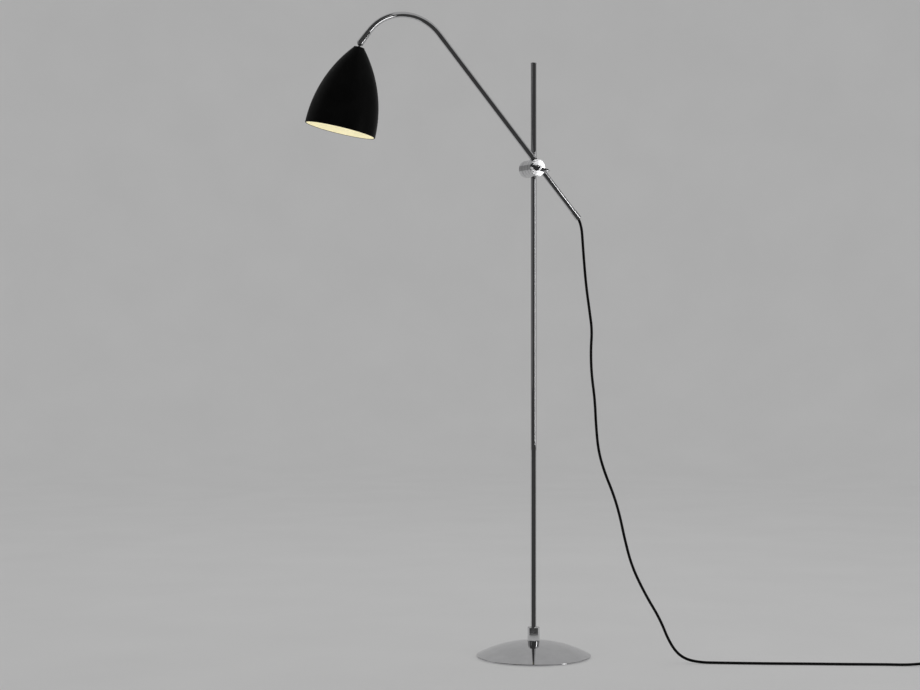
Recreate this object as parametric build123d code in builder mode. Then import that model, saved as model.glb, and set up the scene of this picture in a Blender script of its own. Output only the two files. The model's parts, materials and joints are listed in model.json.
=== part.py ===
from build123d import *
import math
import os

os.makedirs("parts", exist_ok=True)

# Adjustable arm floor lamp. Millimetres, +Z up, origin on the floor under the post's axis.
# The arm swings in a plane parallel to XZ at rest, with the clamp's bolt along Y, its front at -Y.

# ---------------------------------------------------------------- driving dimensions
TUBE_R = 6.35  # post and arm are the same half inch tube
TUBE_WALL = 1.2
BORE_R = TUBE_R - TUBE_WALL
RUN_FIT = 0.05  # radial clearance of everything that turns or slides

BASE_R = 127.0  # ten inch base
DOME_TOP = 35.0
DOME_FLAT_R = 14.0
DOME_SPHERE_R = 271.0
SHEET = 1.2  # spun sheet of the dome and of the shade
PAD_H = 3.0
WEIGHT_R = 118.0
BOSS_TOP = 28.0

COLLAR_R = 13.4
COLLAR_TOP = 66.0
POST_TOP = 1313.0

BOLT_X = -10.5  # bolt axis; both tubes pass it at this distance
BOLT_Z = 1079.3
BOLT_R = 2.5
DRUM_R = 19.3
REAR_BACK = -14.0  # along the bolt, measured forward from the post's axis
REAR_FRONT = 12.0
DISC_GAP = 0.5  # friction washer between the two drums
ARM_FORWARD = 24.0  # arm axis in front of the post's axis
FRONT_FACE = 36.0
JAW_GAP = 0.8  # slit of each drum, closed by the wing nut
SLEEVE_R = 7.05
SLEEVE_HALF = 15.5
WASHER_H = 1.2

ARM_HEADING = 132.42  # direction of the arm's straight run, degrees from +X in the XZ plane
ARM_BELOW = 154.8  # from the bolt down to the mouth of the ferrule
ARM_ABOVE = 362.5  # from the bolt up to the start of the bend
BEND_R = 108.75
BEND_ANGLE = 100.1
TAIL = 34.0  # straight end after the bend, up to the mouth of the socket
TIP_L = 32.0
TUBE_IN_TIP = 12.0

BALL_R = 6.5
BALL_INSET = 1.5  # ball centre behind the mouth of the socket
BALL_FIT = 0.1
STEM_R = 3.0
SHADE_DROP = 9.0  # ball centre to the shade's top
SHADE_AXIS = (-0.1987, 0.1056, -0.9743)  # from the top of the shade to its mouth
SHADE_L = 178.5
SHADE_ARC_R = 271.4
SHADE_ARC_ALONG = 176.0  # centre of the ogive's arc, along the axis
SHADE_ARC_OUT = -196.4  # and off it

CORD_R = 3.0
CORD_REST = 3.1  # height of the cord's axis on the floor
LEAD_HEADING = -28.0  # direction of the lead along the floor, degrees from +X
SWITCH_AT = (723.0, -525.0)
SWITCH_R = 30.0
SWITCH_H = 22.0
SWITCH_CORD_H = 7.0  # height of the cord where it enters the switch
BUTTON_R = 14.0
BOOT_L = 20.0
COIL_AT = (84.0, -36.3)  # from the switch, along and across the lead's direction
COIL_INNER_TURN = 30.3
COIL_OUTER_TURN = 36.3
COIL_LOW = 3.9  # height of the lower turns, which rest on the tie
COIL_HIGH = 9.9
PLUG_AT = 60.0  # where the plug's boot starts, along the lead's direction
PLUG_H = 8.0  # height of the plug's middle
PLUG_BOOT_L = 24.0
PLUG_BODY_L = 34.0
BLADE_L = 17.0
BLADE_APART = 12.7

# ---------------------------------------------------------------- frames


def heading(degrees):
    """Unit vector in the XZ plane."""
    return Vector(math.cos(math.radians(degrees)), 0, math.sin(math.radians(degrees)))


def section(frame):
    """Half-section of a turned piece: local X is the radius, local Y runs along the frame's Z."""
    return Plane(frame.origin, x_dir=frame.x_dir, z_dir=-frame.y_dir)


def axis_of(frame):
    return Axis(frame.origin, frame.z_dir)


def save(builder, name):
    builder.part.label = name
    export_step(builder.part, f"parts/{name}.step")


UP_END = (Align.CENTER, Align.CENTER, Align.MIN)

bolt_frame = Plane((BOLT_X, 0, BOLT_Z), x_dir=(1, 0, 0), z_dir=(0, -1, 0))

ARM_UP = heading(ARM_HEADING)
ARM_SIDE = heading(ARM_HEADING - 90)  # away from the bolt
arm_foot = Vector(BOLT_X, -ARM_FORWARD, BOLT_Z) - ARM_SIDE * BOLT_X
arm_frame = Plane(arm_foot, x_dir=ARM_SIDE, z_dir=ARM_UP)
arm_low = arm_foot - ARM_UP * ARM_BELOW

bend_start = arm_foot + ARM_UP * ARM_ABOVE
bend_centre = bend_start - ARM_SIDE * BEND_R
bend_middle = bend_centre + heading(ARM_HEADING - 90 + BEND_ANGLE / 2) * BEND_R
bend_end = bend_centre + heading(ARM_HEADING - 90 + BEND_ANGLE) * BEND_R
TAIL_DIR = heading(ARM_HEADING + BEND_ANGLE)
neck_mouth = bend_end + TAIL_DIR * TAIL
tip_frame = Plane(neck_mouth - TAIL_DIR * TIP_L, x_dir=(0, 1, 0), z_dir=TAIL_DIR)
BALL_AT = TIP_L - BALL_INSET

ball = neck_mouth - TAIL_DIR * BALL_INSET
SHADE_DIR = Vector(*SHADE_AXIS).normalized()
TILT_AXIS = TAIL_DIR.cross(SHADE_DIR).normalized()
shade_top = ball + SHADE_DIR * SHADE_DROP
shade_frame = Plane(shade_top, x_dir=TILT_AXIS, z_dir=SHADE_DIR)

switch_frame = Plane(
    (*SWITCH_AT, 0),
    x_dir=(math.cos(math.radians(LEAD_HEADING)), math.sin(math.radians(LEAD_HEADING)), 0),
    z_dir=(0, 0, 1),
)
coil_frame = Plane(
    switch_frame.from_local_coords((*COIL_AT, 0)), x_dir=switch_frame.x_dir, z_dir=(0, 0, 1)
)
PLUG_Y = COIL_AT[1] - COIL_OUTER_TURN

# ---------------------------------------------------------------- base


def dome_height(radius):
    """Height of the dome's outside, a sphere that starts at the flat top."""
    crown = math.sqrt(DOME_SPHERE_R**2 - DOME_FLAT_R**2)
    return DOME_TOP - crown + math.sqrt(DOME_SPHERE_R**2 - radius**2)


INNER_EDGE = 119.5  # where the dome's inside meets the rolled edge
SKIRT_R = 122.0  # inside of the rolled edge
LIP_R = 2.1
dome_centre = Vector(0, dome_height(0) - DOME_SPHERE_R)
lip_rise = math.sqrt((DOME_SPHERE_R - LIP_R) ** 2 - (BASE_R - LIP_R) ** 2)
lip_centre = dome_centre + Vector(BASE_R - LIP_R, lip_rise)
lip_start = dome_centre + (lip_centre - dome_centre) * (DOME_SPHERE_R / (DOME_SPHERE_R - LIP_R))
lip_low = lip_centre - Vector(0, LIP_R)
with BuildPart() as base_shell:
    with BuildSketch(Plane.XZ):
        with BuildLine():
            outside = ThreePointArc((DOME_FLAT_R, DOME_TOP), (70, dome_height(70)), lip_start)
            ThreePointArc(lip_start, lip_centre + Vector(LIP_R, 0), lip_low)
            inner_edge = (INNER_EDGE, dome_height(INNER_EDGE) - SHEET)
            Polyline(lip_low, (SKIRT_R, lip_low.Y), (SKIRT_R, 4.6), inner_edge)
            inside = ThreePointArc(
                inner_edge,
                (70, dome_height(70) - SHEET),
                (DOME_FLAT_R, DOME_TOP - SHEET),
            )
            Polyline(
                inside @ 1,
                (TUBE_R + 0.15, DOME_TOP - SHEET),
                (TUBE_R + 0.15, DOME_TOP),
                outside @ 0,
            )
        make_face()
    revolve(axis=Axis.Z)
save(base_shell, "base_shell")

BOLT_HOLE_R = 5.0
POCKET_R = 14.0
POCKET_TOP = 12.0  # roof of the pocket that the post's bolt is set in
with BuildPart() as base_weight:
    with BuildSketch(Plane.XZ):
        Polygon(
            (BOLT_HOLE_R, PAD_H),
            (WEIGHT_R, PAD_H),
            (WEIGHT_R, 5.5),
            (100, 11.5),
            (62, 22.5),
            (30, BOSS_TOP),
            (BOLT_HOLE_R, BOSS_TOP),
            align=None,
        )
    revolve(axis=Axis.Z)
    with Locations((0, 0, PAD_H)):
        Cylinder(POCKET_R, POCKET_TOP - PAD_H, align=UP_END, mode=Mode.SUBTRACT)
save(base_weight, "base_weight")

with BuildPart() as base_pad:
    Cylinder(SKIRT_R - 1, PAD_H, align=UP_END)
    fillet(base_pad.edges().filter_by(GeomType.CIRCLE).sort_by(Axis.Z)[0], 0.6)
save(base_pad, "base_pad")

POST_BOLT_R = 4.0
HEAD_H = 5.3
WASHER_T = 1.6
HEAD_TOP = POCKET_TOP - WASHER_T
with BuildPart(Plane.XY.offset(HEAD_TOP)) as base_washer:
    Cylinder(12, WASHER_T, align=UP_END)
    Cylinder(POST_BOLT_R + 0.2, WASHER_T, align=UP_END, mode=Mode.SUBTRACT)
save(base_washer, "base_washer")

with BuildPart(Plane.XY.offset(HEAD_TOP)) as base_bolt:
    with BuildSketch(Plane.XY.offset(HEAD_TOP)):
        RegularPolygon(7.5, 6)
    extrude(amount=-HEAD_H)
    Cylinder(POST_BOLT_R, 42, align=UP_END)
    chamfer(base_bolt.edges().filter_by(GeomType.CIRCLE).sort_by(Axis.Z)[-1], 0.8)
save(base_bolt, "base_bolt")

with BuildPart(Plane.XY.offset(BOSS_TOP)) as post:
    Cylinder(TUBE_R, POST_TOP - BOSS_TOP, align=UP_END)
    Cylinder(BORE_R, POST_TOP - BOSS_TOP, align=UP_END, mode=Mode.SUBTRACT)
save(post, "post")

PLUG_NUT_L = 32.0  # threaded insert that the bolt pulls the post down by
with BuildPart(Plane.XY.offset(BOSS_TOP)) as post_plug:
    Cylinder(BORE_R, PLUG_NUT_L, align=UP_END)
    Cylinder(POST_BOLT_R, PLUG_NUT_L, align=UP_END, mode=Mode.SUBTRACT)
save(post_plug, "post_plug")

CAP_STEM_L = 10.0
with BuildPart(Plane.XY.offset(POST_TOP)) as post_cap:
    Cylinder(TUBE_R + 0.35, 2.2, align=UP_END)
    fillet(post_cap.edges().sort_by(Axis.Z)[-1], 1.2)
    with Locations((0, 0, -CAP_STEM_L)):
        Cylinder(BORE_R, CAP_STEM_L, align=UP_END)
save(post_cap, "post_cap")

SCREW_H = 50.0
SCREW_R = 2.0
SOCKET_DEEP = 2.0
with BuildPart(Plane.XY.offset(DOME_TOP)) as collar:
    Cylinder(COLLAR_R, COLLAR_TOP - DOME_TOP, align=UP_END)
    chamfer(collar.edges().sort_by(Axis.Z)[-1], 1.0)
    Cylinder(TUBE_R + RUN_FIT, COLLAR_TOP - DOME_TOP, align=UP_END, mode=Mode.SUBTRACT)
    with BuildSketch(Plane.XZ.offset(-20)):
        with Locations((0, SCREW_H)):
            Circle(SCREW_R + RUN_FIT)
    extrude(amount=15, mode=Mode.SUBTRACT)
save(collar, "collar")

SCREW_BACK = COLLAR_R - 0.3
with BuildPart() as collar_screw:
    with BuildSketch(Plane.XZ.offset(-SCREW_BACK)):
        with Locations((0, SCREW_H)):
            Circle(SCREW_R)
            RegularPolygon(1.1, 6, mode=Mode.SUBTRACT)
    extrude(amount=SOCKET_DEEP)
    with BuildSketch(Plane.XZ.offset(SOCKET_DEEP - SCREW_BACK)):
        with Locations((0, SCREW_H)):
            Circle(SCREW_R)
    extrude(amount=SCREW_BACK - SOCKET_DEEP - TUBE_R - RUN_FIT)
save(collar_screw, "collar_screw")

# ---------------------------------------------------------------- clamp on the post


def bolt_bore():
    """Clearance hole for the clamp's bolt, through the block that is being made."""
    with Locations((0, 0, REAR_BACK - 1)):
        Cylinder(BOLT_R + RUN_FIT, FRONT_FACE - REAR_BACK + 2, align=UP_END, mode=Mode.SUBTRACT)


post_frame = Plane((0, 0, BOLT_Z))
FRONT_BACK = REAR_FRONT + DISC_GAP

# name, back face, front face, tube it grips, whether the back or the front edge is the outer one
JAWS = (
    ("clamp_rear_outer", REAR_BACK, -JAW_GAP / 2, post_frame, "back"),
    ("clamp_rear_inner", JAW_GAP / 2, REAR_FRONT, post_frame, "none"),
    ("clamp_front_inner", FRONT_BACK, ARM_FORWARD - JAW_GAP / 2, arm_frame, "none"),
    ("clamp_front_outer", ARM_FORWARD + JAW_GAP / 2, FRONT_FACE, arm_frame, "front"),
)
for jaw_name, back, front, tube_frame, outer_edge in JAWS:
    with BuildPart(bolt_frame) as jaw:
        with Locations((0, 0, back)):
            Cylinder(DRUM_R, front - back, align=UP_END)
        rims = jaw.edges().filter_by(GeomType.CIRCLE).sort_by(Axis.Y)
        if outer_edge == "back":
            fillet(rims[-1], 1.0)
        if outer_edge == "front":
            fillet(rims[0], 0.8)
        bolt_bore()
        with BuildSketch(tube_frame):
            Circle(SLEEVE_R + RUN_FIT)
        extrude(amount=2 * DRUM_R, both=True, mode=Mode.SUBTRACT)
    save(jaw, jaw_name)

for sleeve_name, tube_frame in (("post_sleeve", post_frame), ("arm_sleeve", arm_frame)):
    with BuildPart(tube_frame) as sleeve:
        Cylinder(SLEEVE_R, 2 * SLEEVE_HALF)
        Cylinder(TUBE_R + RUN_FIT, 2 * SLEEVE_HALF, mode=Mode.SUBTRACT)
    save(sleeve, sleeve_name)

with BuildPart(bolt_frame) as friction_washer:
    with Locations((0, 0, REAR_FRONT)):
        Cylinder(DRUM_R - 1.5, DISC_GAP, align=UP_END)
    bolt_bore()
save(friction_washer, "friction_washer")

BOLT_END = 50.0
HEAD_R = 5.2
BOLT_HEAD_H = 3.2
with BuildPart(bolt_frame) as clamp_bolt:
    with Locations((0, 0, REAR_BACK)):
        Cylinder(BOLT_R, BOLT_END - REAR_BACK, align=UP_END)
    chamfer(clamp_bolt.edges().filter_by(GeomType.CIRCLE).sort_by(Axis.Y)[0], 0.5)
    with Locations((0, 0, REAR_BACK - BOLT_HEAD_H)):
        Cylinder(HEAD_R, BOLT_HEAD_H, align=UP_END)
    fillet(clamp_bolt.edges().filter_by(GeomType.CIRCLE).sort_by(Axis.Y)[-1], 1.2)
    with BuildSketch(Plane.XZ.offset(REAR_BACK - BOLT_HEAD_H)):
        with Locations((BOLT_X, BOLT_Z)):
            RegularPolygon(1.9, 6)
    extrude(amount=SOCKET_DEEP, mode=Mode.SUBTRACT)
save(clamp_bolt, "clamp_bolt")

with BuildPart(bolt_frame) as thrust_washer:
    with Locations((0, 0, FRONT_FACE)):
        Cylinder(6.8, WASHER_H, align=UP_END)
        Cylinder(BOLT_R + RUN_FIT, WASHER_H, align=UP_END, mode=Mode.SUBTRACT)
save(thrust_washer, "thrust_washer")

WING_TILT = -15.0  # angle of the wings at rest, from horizontal
WING_SPAN_R = 25.0
WING_T = 2.2
HUB_BACK = FRONT_FACE + WASHER_H
HUB_L = 9.0
with BuildPart(bolt_frame) as wing_nut:
    with Locations((0, 0, HUB_BACK)):
        Cone(6.4, 5.0, HUB_L, align=UP_END)
    for side in (1, -1):
        wing_plane = Plane(
            bolt_frame.origin,
            x_dir=heading(WING_TILT) * side,
            z_dir=(heading(WING_TILT) * side).cross(Vector(0, -1, 0)),
        )
        with BuildSketch(wing_plane):
            with BuildLine():
                root_low = (4.0, HUB_BACK + 1.0)
                root_high = (4.0, HUB_BACK + HUB_L - 1.0)
                wing_low = (8.5, HUB_BACK + 1.4)
                Polyline(root_high, root_low, wing_low)
                Spline(
                    wing_low,
                    (18, HUB_BACK + 2.6),
                    (WING_SPAN_R, HUB_BACK + 8),
                    (22, HUB_BACK + 13.5),
                    (14, HUB_BACK + 11.5),
                    root_high,
                )
            make_face()
        extrude(amount=WING_T / 2, both=True)
    with Locations((0, 0, HUB_BACK)):
        Cylinder(BOLT_R + RUN_FIT, HUB_L, align=UP_END, mode=Mode.SUBTRACT)
save(wing_nut, "wing_nut")

# ---------------------------------------------------------------- arm
FERRULE_L = 19.7
TUBE_IN_FERRULE = 6.0
tube_low = arm_low + ARM_UP * (FERRULE_L - TUBE_IN_FERRULE)
tube_end = neck_mouth - TAIL_DIR * (TIP_L - TUBE_IN_TIP)

with BuildLine() as arm_path:
    Line(tube_low, bend_start)
    ThreePointArc(bend_start, bend_middle, bend_end)
    Line(bend_end, tube_end)

with BuildPart() as arm_tube:
    with BuildSketch(Plane(tube_low, x_dir=ARM_SIDE, z_dir=ARM_UP)):
        Circle(TUBE_R)
        Circle(BORE_R, mode=Mode.SUBTRACT)
    sweep(path=arm_path.line)
save(arm_tube, "arm_tube")

GROMMET_L = 5.0
LEAD_R = 2.6
lead_low = tube_low + ARM_UP * GROMMET_L
lead_high = tube_end - TAIL_DIR * 4
with BuildLine() as lead_path:
    Line(lead_low, bend_start)
    ThreePointArc(bend_start, bend_middle, bend_end)
    Line(bend_end, lead_high)
with BuildPart() as inner_lead:
    with BuildSketch(Plane(lead_low, x_dir=ARM_SIDE, z_dir=ARM_UP)):
        Circle(LEAD_R)
    sweep(path=lead_path.line)
save(inner_lead, "inner_lead")

ferrule_frame = Plane(arm_low, x_dir=ARM_SIDE, z_dir=ARM_UP)
FERRULE_R = 7.4
with BuildPart(ferrule_frame) as ferrule:
    Cylinder(FERRULE_R, FERRULE_L, align=UP_END)
    fillet(ferrule.edges().filter_by(GeomType.CIRCLE), 0.5)
    Cylinder(5.9, FERRULE_L, align=UP_END, mode=Mode.SUBTRACT)
    with Locations((0, 0, FERRULE_L - TUBE_IN_FERRULE)):
        Cylinder(TUBE_R, TUBE_IN_FERRULE, align=UP_END, mode=Mode.SUBTRACT)
save(ferrule, "ferrule")

grommet_frame = Plane(tube_low, x_dir=ARM_SIDE, z_dir=ARM_UP)
with BuildPart(grommet_frame) as ferrule_grommet:
    with BuildSketch(section(grommet_frame)):
        Polygon(
            (CORD_R + 0.1, -4),
            (CORD_R + 0.9, -4),
            (5.8, -1.2),
            (5.8, 0),
            (BORE_R, 0),
            (BORE_R, GROMMET_L),
            (CORD_R + 0.1, GROMMET_L),
            align=None,
        )
    revolve(axis=axis_of(grommet_frame))
save(ferrule_grommet, "ferrule_grommet")

RING_L = 4.0
SOCKET_R = 6.62
TIP_OUT = 7.55
with BuildPart() as socket_tip:
    with BuildSketch(section(tip_frame)):
        with BuildLine():
            ThreePointArc((6.75, 0), (7.28, 16), (TIP_OUT, TIP_L - RING_L))
            Polyline(
                (TIP_OUT, TIP_L - RING_L),
                (SOCKET_R, TIP_L - RING_L),
                (SOCKET_R, TUBE_IN_TIP + 2),
                (BORE_R, TUBE_IN_TIP + 2),
                (BORE_R, TUBE_IN_TIP),
                (TUBE_R, TUBE_IN_TIP),
                (TUBE_R, 0),
                (6.75, 0),
            )
        make_face()
    revolve(axis=axis_of(tip_frame))
save(socket_tip, "socket_tip")

CUP_R = BALL_R + BALL_FIT
with BuildPart() as socket_ring:
    with BuildSketch(section(tip_frame)):
        with BuildLine():
            mouth_r = math.sqrt(CUP_R**2 - BALL_INSET**2)
            cup_turn = math.sin(math.radians(6)), math.cos(math.radians(6))
            Polyline(
                (CUP_R, BALL_AT),
                (CUP_R, TIP_L - RING_L),
                (TIP_OUT, TIP_L - RING_L),
                (TIP_OUT, TIP_L - 0.3),
                (TIP_OUT - 0.3, TIP_L),
                (mouth_r, TIP_L),
            )
            ThreePointArc(
                (mouth_r, TIP_L),
                (CUP_R * cup_turn[1], BALL_AT + CUP_R * cup_turn[0]),
                (CUP_R, BALL_AT),
            )
        make_face()
    revolve(axis=axis_of(tip_frame))
save(socket_ring, "socket_ring")

SEAT_LOW = 19.5
SEAT_HIGH = 27.5
SEAT_BORE = 3.6
with BuildPart() as ball_seat:
    with BuildSketch(section(tip_frame)):
        with BuildLine():
            edge_r = math.sqrt(CUP_R**2 - (BALL_AT - SEAT_HIGH) ** 2)
            floor_h = BALL_AT - math.sqrt(CUP_R**2 - SEAT_BORE**2)
            Polyline(
                (SEAT_BORE, floor_h),
                (SEAT_BORE, SEAT_LOW),
                (SOCKET_R - 0.07, SEAT_LOW),
                (SOCKET_R - 0.07, SEAT_HIGH),
                (edge_r, SEAT_HIGH),
            )
            ThreePointArc(
                (edge_r, SEAT_HIGH),
                (CUP_R * math.sin(math.radians(48)), BALL_AT - CUP_R * math.cos(math.radians(48))),
                (SEAT_BORE, floor_h),
            )
        make_face()
    revolve(axis=axis_of(tip_frame))
save(ball_seat, "ball_seat")

SPRING_LOW = TUBE_IN_TIP + 2
with BuildPart() as seat_spring:
    with BuildSketch(section(tip_frame)):
        with BuildLine():
            # three dished washers, back to back, seen as a zigzag ring
            step = (SEAT_LOW - SPRING_LOW) / 4
            outer = [(6.4 if k % 2 else 5.6, SPRING_LOW + k * step) for k in range(5)]
            inner = [(r - 1.5, h) for r, h in reversed(outer)]
            Polyline(*outer, *inner, outer[0])
        make_face()
    revolve(axis=axis_of(tip_frame))
save(seat_spring, "seat_spring")

# ---------------------------------------------------------------- shade and lampholder
STEM_END = 12.0  # below the shade's top
with BuildPart(shade_frame) as ball_stud:
    with Locations((0, 0, -SHADE_DROP)):
        Sphere(BALL_R)
    with Locations((0, 0, -SHADE_DROP)):
        Cylinder(STEM_R, SHADE_DROP + STEM_END, align=UP_END)
    with Locations((0, 0, -1.0)):
        Cylinder(4.8, 1.0, align=UP_END)
    with Locations((0, 0, -SHADE_DROP - BALL_R)):
        Cylinder(1.9, SHADE_DROP + BALL_R + STEM_END, align=UP_END, mode=Mode.SUBTRACT)
save(ball_stud, "ball_stud")


def shade_radius(along, inset=0.0):
    """Radius of the ogive at a distance from the shade's top."""
    reach = (SHADE_ARC_R - inset) ** 2 - (along - SHADE_ARC_ALONG) ** 2
    return SHADE_ARC_OUT + math.sqrt(reach)


with BuildPart() as shade:
    with BuildSketch(section(shade_frame)):
        with BuildLine():
            SHOULDER = 1.6
            MIDDLE = 90.0
            outside = ThreePointArc(
                (shade_radius(SHOULDER), SHOULDER),
                (shade_radius(MIDDLE), MIDDLE),
                (shade_radius(SHADE_L), SHADE_L),
            )
            Line(outside @ 1, (shade_radius(SHADE_L, SHEET), SHADE_L))
            inside = ThreePointArc(
                (shade_radius(SHADE_L, SHEET), SHADE_L),
                (shade_radius(MIDDLE, SHEET), MIDDLE),
                (shade_radius(SHOULDER + SHEET, SHEET), SHOULDER + SHEET),
            )
            Polyline(
                inside @ 1,
                (shade_radius(SHOULDER) - 2.4, SHEET),
                (STEM_R + RUN_FIT, SHEET),
                (STEM_R + RUN_FIT, 0),
                (shade_radius(SHOULDER) - 1.3, 0),
                outside @ 0,
            )
        make_face()
    revolve(axis=axis_of(shade_frame))
save(shade, "shade")

with BuildPart() as shade_rim:
    with BuildSketch(section(shade_frame)):
        with Locations((shade_radius(SHADE_L, SHEET) - 1.0, SHADE_L - 1.0)):
            Circle(1.0)
    revolve(axis=axis_of(shade_frame))
save(shade_rim, "shade_rim")

NUT_GAP = 0.1  # leaves the shade free to spin on the stud
with BuildPart(shade_frame) as stud_nut:
    with BuildSketch(Plane(shade_frame.from_local_coords((0, 0, SHEET + NUT_GAP)), TILT_AXIS, SHADE_DIR)):
        RegularPolygon(6.2, 6)
        Circle(STEM_R + RUN_FIT, mode=Mode.SUBTRACT)
    extrude(amount=4.5)
save(stud_nut, "stud_nut")

CAP_TOP = 6.6
CAP_END = 24.0
HOLDER_R = 19.0
HOLDER_END = 60.0
with BuildPart() as lampholder_cap:
    with BuildSketch(section(shade_frame)):
        Polygon(
            (STEM_R + RUN_FIT, CAP_TOP),
            (8.5, CAP_TOP),
            (13.0, 10.5),
            (18.0, 17.0),
            (HOLDER_R, CAP_END),
            (HOLDER_R - 1.8, CAP_END),
            (16.0, 18.0),
            (11.5, 12.0),
            (7.5, 9.0),
            (STEM_R + RUN_FIT, 9.0),
            align=None,
        )
    revolve(axis=axis_of(shade_frame))
save(lampholder_cap, "lampholder_cap")

with BuildPart() as lampholder_body:
    with BuildSketch(section(shade_frame)):
        Polygon(
            (14.2, 30.0),
            (2.5, 30.0),
            (2.5, 27.0),
            (14.0, 27.0),
            (14.0, CAP_END),
            (HOLDER_R, CAP_END),
            (HOLDER_R, HOLDER_END - 4),
            (HOLDER_R + 1.4, HOLDER_END - 3),
            (HOLDER_R + 1.4, HOLDER_END),
            (14.2, HOLDER_END),
            align=None,
        )
    revolve(axis=axis_of(shade_frame))
save(lampholder_body, "lampholder_body")

with BuildPart(shade_frame) as lampholder_shell:
    with Locations((0, 0, 32)):
        Cylinder(14.2, 24, align=UP_END)
    with Locations((0, 0, 32)):
        Cylinder(13.6, 24, align=UP_END, mode=Mode.SUBTRACT)
save(lampholder_shell, "lampholder_shell")

contact_plane = Plane(shade_frame.from_local_coords((0, 0, 30)), TILT_AXIS, SHADE_DIR)
with BuildPart(contact_plane) as lampholder_contact:
    Box(8, 4, 0.6, align=(Align.CENTER, Align.CENTER, Align.MIN))
    with Locations((2, 0, 0.6)):
        Cylinder(1.8, 2.0, align=UP_END)
save(lampholder_contact, "lampholder_contact")

CAP_LOW = 33.0
with BuildPart(shade_frame) as bulb_cap:
    with Locations((0, 0, CAP_LOW)):
        Cone(6, 12.9, 4, align=UP_END)
    with Locations((0, 0, CAP_LOW + 4)):
        Cylinder(12.9, 22, align=UP_END)
    with Locations((0, 0, CAP_LOW + 8)):
        Cylinder(11.9, 18, align=UP_END, mode=Mode.SUBTRACT)
save(bulb_cap, "bulb_cap")

BULB_R = 28.0
BULB_END = 150.0
NECK_R = 12.9
NECK_AT = CAP_LOW + 26.0
GLASS = 1.0


def on_bulb(angle, inset):
    """Point of the bulb's round end, at an angle from its tip."""
    centre_at = BULB_END - BULB_R
    turn = math.radians(angle)
    return ((BULB_R - inset) * math.sin(turn), centre_at + (BULB_R - inset) * math.cos(turn))


with BuildPart() as bulb_glass:
    with BuildSketch(section(shade_frame)):
        with BuildLine():
            for inset in (0, GLASS):
                crown = ThreePointArc(on_bulb(0, inset), on_bulb(50, inset), on_bulb(98, inset))
                Spline(
                    crown @ 1,
                    (17.5 - inset, 85),
                    (NECK_R - inset, NECK_AT),
                    tangents=(crown % 1, (0, -1)),
                )
            Line((NECK_R, NECK_AT), (NECK_R - GLASS, NECK_AT))
            Line(on_bulb(0, 0), on_bulb(0, GLASS))
        make_face()
    revolve(axis=axis_of(shade_frame))
save(bulb_glass, "bulb_glass")

with BuildPart(shade_frame) as bulb_stem:
    with Locations((0, 0, NECK_AT - 6)):
        Cone(8, 3, 26, align=UP_END)
    with Locations((0, 0, NECK_AT + 20)):
        Cylinder(3, 10, align=UP_END)
    with Locations((0, 0, NECK_AT + 30)):
        Cylinder(9, 3, align=UP_END)
    with Locations((0, 0, NECK_AT + 33)):
        Cone(9, 6, 22, align=UP_END)
save(bulb_stem, "bulb_stem")

# ---------------------------------------------------------------- foot switch on the lead
FLOOR_PLATE = 3.0
with BuildPart(switch_frame) as switch_base:
    Cylinder(SWITCH_R, FLOOR_PLATE, align=UP_END)
    chamfer(switch_base.edges().filter_by(GeomType.CIRCLE).sort_by(Axis.Z)[0], 0.8)
    with PolarLocations(21, 3, 90):
        Cylinder(3, 9, align=UP_END)
save(switch_base, "switch_base")

WALL = 2.0
with BuildPart(switch_frame) as switch_cover:
    with BuildSketch(section(switch_frame)):
        Polygon(
            (SWITCH_R, FLOOR_PLATE),
            (SWITCH_R, 12),
            (BUTTON_R + 3, SWITCH_H),
            (BUTTON_R + 0.4, SWITCH_H),
            (BUTTON_R + 0.4, SWITCH_H - WALL),
            (BUTTON_R + 2.3, SWITCH_H - WALL),
            (SWITCH_R - WALL, 11),
            (SWITCH_R - WALL, FLOOR_PLATE),
            align=None,
        )
    revolve(axis=axis_of(switch_frame))
    with Locations((0, 0, SWITCH_CORD_H)):
        Cylinder(4.3, 80, rotation=(0, 90, 0), mode=Mode.SUBTRACT)
save(switch_cover, "switch_cover")

BUTTON_LOW = 15.0
BUTTON_ROOF = BUTTON_LOW + 9.5  # underside of the button's top
FLANGE_T = 1.6  # the flange that the cover holds the button in by
with BuildPart(switch_frame) as switch_button:
    with Locations((0, 0, BUTTON_LOW)):
        Cylinder(BUTTON_R, 12, align=UP_END)
    fillet(switch_button.edges().filter_by(GeomType.CIRCLE).sort_by(Axis.Z)[-1], 2.0)
    with Locations((0, 0, SWITCH_H - WALL - 0.1 - FLANGE_T)):
        Cylinder(BUTTON_R + 1.6, FLANGE_T, align=UP_END)
    with Locations((0, 0, BUTTON_LOW)):
        Cylinder(BUTTON_R - 2, BUTTON_ROOF - BUTTON_LOW, align=UP_END, mode=Mode.SUBTRACT)
save(switch_button, "switch_button")

BLOCK_TOP = 11.0
with BuildPart(switch_frame) as switch_block:
    with Locations((0, 0, FLOOR_PLATE)):
        Box(24, 14, BLOCK_TOP - FLOOR_PLATE, align=UP_END)
save(switch_block, "switch_block")

SPRING_R = 5.0
SPRING_WIRE = 0.5
spring_low = switch_frame.from_local_coords((0, 0, BLOCK_TOP + SPRING_WIRE))
with BuildPart() as switch_spring:
    with BuildLine(Plane(spring_low)):
        coil_line = Helix(pitch=3.5, height=BUTTON_ROOF - BLOCK_TOP - 2 * SPRING_WIRE, radius=SPRING_R)
    with BuildSketch(Plane(coil_line @ 0, z_dir=coil_line % 0)):
        Circle(SPRING_WIRE)
    sweep(is_frenet=True)
save(switch_spring, "switch_spring")

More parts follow.
